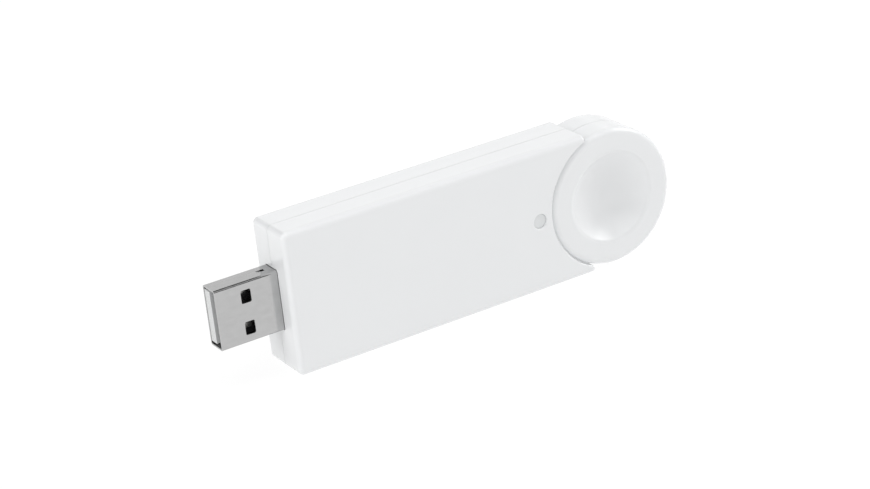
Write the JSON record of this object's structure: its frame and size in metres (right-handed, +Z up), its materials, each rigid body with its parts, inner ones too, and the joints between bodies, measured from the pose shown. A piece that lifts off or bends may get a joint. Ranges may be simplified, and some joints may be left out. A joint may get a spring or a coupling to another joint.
{
  "type": "usb wifi adapter",
  "caption": "White two-shell wireless network stick with a metal plug at one end, a dished round head at the other and a small status-light lens.",
  "frame": {"origin": "centre of the bounding box's floor, with the stick standing on its long narrow side; the seam between the covers is the plane Y 0", "axes": "+X from the plug to the round head, +Y out of the rear face (the status light faces -Y), +Z up across the width"},
  "size_m": [0.0984, 0.0122, 0.0286],
  "materials": {
    "white_plastic": "smooth satin-gloss moulded",
    "light_lens": "milky translucent",
    "label": "smooth silver-white film",
    "plug_steel": "satin nickel plate",
    "plug_insulator_white": "matt moulded",
    "carrier_black": "matt moulded",
    "nickel_contact": "satin nickel plate",
    "board": "green solder mask",
    "copper_pad": "gold flash",
    "solder": "dull tin",
    "chip_black": "matt epoxy",
    "tinplate": "satin tinplate",
    "thermal_gum": "soft matt",
    "ceramic_tan": "matt sintered",
    "tantalum_yellow": "matt epoxy",
    "ferrite": "matt sintered",
    "copper_wire": "enamelled copper",
    "led_lens": "clear epoxy"
  },
  "bodies": {
    "root": {"front_cover": "white_plastic", "rear_cover": "white_plastic", "light_guide": "light_lens", "rating_label": "label", "plug_shell": "plug_steel", "plug_insulator": "plug_insulator_white", "contact_carrier": "carrier_black", "contact_power": "nickel_contact", "contact_data_minus": "nickel_contact", "contact_data_plus": "nickel_contact", "contact_ground": "nickel_contact", "plug_solder_joints": "solder", "circuit_board": "board", "board_copper_pads": "copper_pad", "radio_chip": "chip_black", "radio_thermal_pad": "thermal_gum", "shield_frame": "tinplate", "shield_lid": "tinplate", "reference_crystal": "tinplate", "flash_memory_chip": "chip_black", "flash_memory_leads": "solder", "voltage_regulator": "chip_black", "voltage_regulator_leads": "solder", "surge_protector": "chip_black", "surge_protector_leads": "solder", "regulator_choke": "ferrite", "choke_winding": "copper_wire", "bulk_capacitor": "tantalum_yellow", "ceramic_capacitors": "ceramic_tan", "capacitor_end_caps": "solder", "chip_resistors": "chip_black", "resistor_end_caps": "solder", "rf_test_socket": "nickel_contact", "antenna": "tinplate", "status_led_base": "plug_insulator_white", "status_led_lens": "led_lens"}
  },
  "joints": []
}
